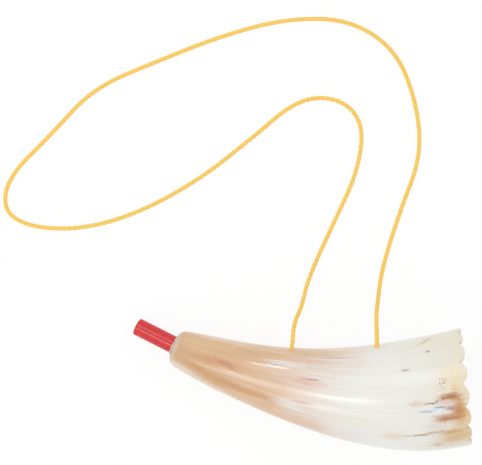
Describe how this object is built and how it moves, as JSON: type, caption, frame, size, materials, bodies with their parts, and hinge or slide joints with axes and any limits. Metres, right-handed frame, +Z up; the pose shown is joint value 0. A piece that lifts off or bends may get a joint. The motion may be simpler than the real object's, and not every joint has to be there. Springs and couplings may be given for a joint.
{
  "type": "horn bugle",
  "caption": "Curved hollow cattle horn with a scalloped bell rim, a straight tube mouthpiece with a beating reed, and a cord loop tied through two holes to hang it round the neck.",
  "frame": {"origin": "middle of the footprint of the horn and its tube, without the cord, on the plane that the horn lies on", "axes": "+X from the mouthpiece to the bell, +Y towards the hollow side of the bend, where the cord leaves, +Z up from the table with the horn lying on its side"},
  "size_m": [0.3185, 0.294, 0.067],
  "materials": {
    "horn_body": "polished cattle horn, tan tip to ivory bell",
    "mouthpiece_tube": "moulded red plastic",
    "glue_bead": "dried clear glue",
    "neck_cord": "braided yellow cord",
    "front_knot": "braided yellow cord",
    "rear_knot": "braided yellow cord",
    "reed_shallot": "moulded plastic",
    "reed_tongue": "rolled brass strip",
    "reed_wedge": "moulded plastic"
  },
  "bodies": {
    "horn": {"horn_body": "horn_body", "mouthpiece_tube": "mouthpiece_tube", "glue_bead": "glue_bead", "neck_cord": "neck_cord", "front_knot": "front_knot", "rear_knot": "rear_knot", "reed_shallot": "reed_shallot", "reed_wedge": "reed_wedge"},
    "tongue": {"reed_tongue": "reed_tongue"}
  },
  "joints": [
    {"name": "reed_flex", "type": "hinge", "parent": "horn", "child": "tongue", "pos_m": [-0.0746, 0.0199, 0.01267], "axis": [-0.4415, -0.8973, 0], "range_deg": [-1.5, 2.5], "stiffness_Nm_per_rad": 0.02}
  ]
}
